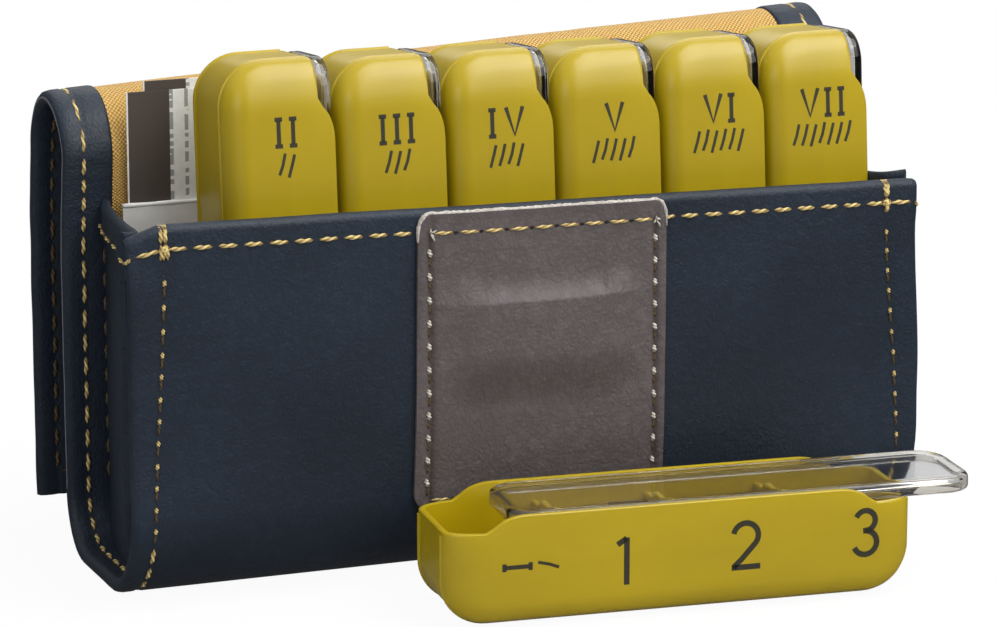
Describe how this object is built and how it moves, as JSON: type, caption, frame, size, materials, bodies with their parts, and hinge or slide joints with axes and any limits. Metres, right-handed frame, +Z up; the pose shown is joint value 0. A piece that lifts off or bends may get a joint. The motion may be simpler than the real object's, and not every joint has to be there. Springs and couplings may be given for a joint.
{
  "type": "weekly pill dispenser",
  "caption": "Weekly pill dispenser: narrow day trays with clear sliding lids standing in the pocket of a sewn leatherette case with a fold-over magnetic flap.",
  "frame": {"origin": "middle of the case's flat underside strip, on the table", "axes": "+X to the right along the case, -Y towards the user, +Z up"},
  "size_m": [0.165, 0.1113, 0.1031],
  "materials": {
    "navy_leather": "fine grained leatherette, satin",
    "canvas": "mustard woven canvas",
    "grey_leather": "grained leatherette, satin",
    "tray_plastic": "moulded plastic, satin",
    "lid_plastic": "clear moulded plastic, glossy",
    "sleeve": "light grey film, satin",
    "card": "printed card",
    "magnet": "plated magnet, sewn in"
  },
  "bodies": {
    "case": {"cover_leather": "navy_leather", "cover_lining": "canvas", "side_hem_left": "navy_leather", "side_hem_right": "navy_leather", "mouth_hem": "navy_leather", "gusset_left": "navy_leather", "gusset_right": "navy_leather", "gusset_trim_left": "navy_leather", "gusset_trim_right": "navy_leather", "closure_patch": "grey_leather", "front_magnet": "magnet", "card_sleeve": "sleeve"},
    "fold_link_1": {"fold_1_leather": "navy_leather", "fold_1_lining": "canvas"},
    "fold_link_2": {"fold_2_leather": "navy_leather", "fold_2_lining": "canvas"},
    "fold_link_3": {"fold_3_leather": "navy_leather", "fold_3_lining": "canvas"},
    "fold_link_4": {"fold_4_leather": "navy_leather", "fold_4_lining": "canvas"},
    "flap_top": {"flap_top_leather": "navy_leather", "flap_top_lining": "canvas"},
    "flap_slope": {"flap_slope_leather": "navy_leather", "flap_slope_lining": "canvas"},
    "flap_front": {"flap_front_leather": "navy_leather", "flap_front_lining": "canvas", "flap_magnet": "magnet"},
    "info_card_front": {"card_front": "card"},
    "info_card_back": {"card_back": "card"},
    "monday_tray": {"tray_monday": "tray_plastic"},
    "monday_lid": {"lid_monday": "lid_plastic"},
    "tuesday_tray": {"tray_tuesday": "tray_plastic"},
    "tuesday_lid": {"lid_tuesday": "lid_plastic"},
    "wednesday_tray": {"tray_wednesday": "tray_plastic"},
    "wednesday_lid": {"lid_wednesday": "lid_plastic"},
    "thursday_tray": {"tray_thursday": "tray_plastic"},
    "thursday_lid": {"lid_thursday": "lid_plastic"},
    "friday_tray": {"tray_friday": "tray_plastic"},
    "friday_lid": {"lid_friday": "lid_plastic"},
    "saturday_tray": {"tray_saturday": "tray_plastic"},
    "saturday_lid": {"lid_saturday": "lid_plastic"},
    "sunday_tray": {"tray_sunday": "tray_plastic"},
    "sunday_lid": {"lid_sunday": "lid_plastic"}
  },
  "joints": [
    {"name": "fold_bend_1", "type": "hinge", "parent": "case", "child": "fold_link_1", "pos_m": [0, 0.02253, 0.08865], "axis": [-1, 0, 0], "range_deg": [-39, 0]},
    {"name": "fold_bend_2", "type": "hinge", "parent": "fold_link_1", "child": "fold_link_2", "pos_m": [0, 0.02718, 0.09506], "axis": [-1, 0, 0], "range_deg": [-58, 0]},
    {"name": "fold_bend_3", "type": "hinge", "parent": "fold_link_2", "child": "fold_link_3", "pos_m": [0, 0.0347, 0.0975], "axis": [-1, 0, 0], "range_deg": [-81, 0]},
    {"name": "fold_bend_4", "type": "hinge", "parent": "fold_link_3", "child": "fold_link_4", "pos_m": [0, 0.04222, 0.09506], "axis": [-1, 0, 0], "range_deg": [-58, 0]},
    {"name": "fold_bend_5", "type": "hinge", "parent": "fold_link_4", "child": "flap_top", "pos_m": [0, 0.04687, 0.08865], "axis": [-1, 0, 0], "range_deg": [-31, 0]},
    {"name": "flap_crease_upper", "type": "hinge", "parent": "flap_top", "child": "flap_slope", "pos_m": [0, 0.0475, 0.0762], "axis": [-1, 0, 0], "range_deg": [-58, 0]},
    {"name": "flap_crease_lower", "type": "hinge", "parent": "flap_slope", "child": "flap_front", "pos_m": [0, 0.0475, 0.0414], "axis": [-1, 0, 0], "range_deg": [-35, 0]},
    {"name": "card_front_lift", "type": "slide", "parent": "case", "child": "info_card_front", "axis": [0, 0, 1], "range_m": [0, 0.045]},
    {"name": "card_back_lift", "type": "slide", "parent": "case", "child": "info_card_back", "axis": [0, 0, 1], "range_m": [0, 0.045]},
    {"name": "tray_tuesday_lift", "type": "slide", "parent": "case", "child": "tuesday_tray", "axis": [0, 0, 1], "range_m": [0, 0.09]},
    {"name": "tray_wednesday_lift", "type": "slide", "parent": "case", "child": "wednesday_tray", "axis": [0, 0, 1], "range_m": [0, 0.09]},
    {"name": "tray_thursday_lift", "type": "slide", "parent": "case", "child": "thursday_tray", "axis": [0, 0, 1], "range_m": [0, 0.09]},
    {"name": "tray_friday_lift", "type": "slide", "parent": "case", "child": "friday_tray", "axis": [0, 0, 1], "range_m": [0, 0.09]},
    {"name": "tray_saturday_lift", "type": "slide", "parent": "case", "child": "saturday_tray", "axis": [0, 0, 1], "range_m": [0, 0.09]},
    {"name": "tray_sunday_lift", "type": "slide", "parent": "case", "child": "sunday_tray", "axis": [0, 0, 1], "range_m": [0, 0.09]},
    {"name": "tray_monday_lift", "type": "slide", "parent": "case", "child": "monday_tray", "axis": [0, 0, 1], "range_m": [0, 0.06]},
    {"name": "lid_tuesday_slide", "type": "slide", "parent": "tuesday_tray", "child": "tuesday_lid", "axis": [0, 0.0872, 0.9962], "range_m": [0, 0.07]},
    {"name": "lid_wednesday_slide", "type": "slide", "parent": "wednesday_tray", "child": "wednesday_lid", "axis": [0, 0.0872, 0.9962], "range_m": [0, 0.07]},
    {"name": "lid_thursday_slide", "type": "slide", "parent": "thursday_tray", "child": "thursday_lid", "axis": [0, 0.0872, 0.9962], "range_m": [0, 0.07]},
    {"name": "lid_friday_slide", "type": "slide", "parent": "friday_tray", "child": "friday_lid", "axis": [0, 0.0872, 0.9962], "range_m": [0, 0.07]},
    {"name": "lid_saturday_slide", "type": "slide", "parent": "saturday_tray", "child": "saturday_lid", "axis": [0, 0.0872, 0.9962], "range_m": [0, 0.07]},
    {"name": "lid_sunday_slide", "type": "slide", "parent": "sunday_tray", "child": "sunday_lid", "axis": [0, 0.0872, 0.9962], "range_m": [0, 0.07]},
    {"name": "lid_monday_slide", "type": "slide", "parent": "monday_tray", "child": "monday_lid", "axis": [0.9966, -0.0819, 0], "range_m": [-0.0135, 0.0565]}
  ]
}
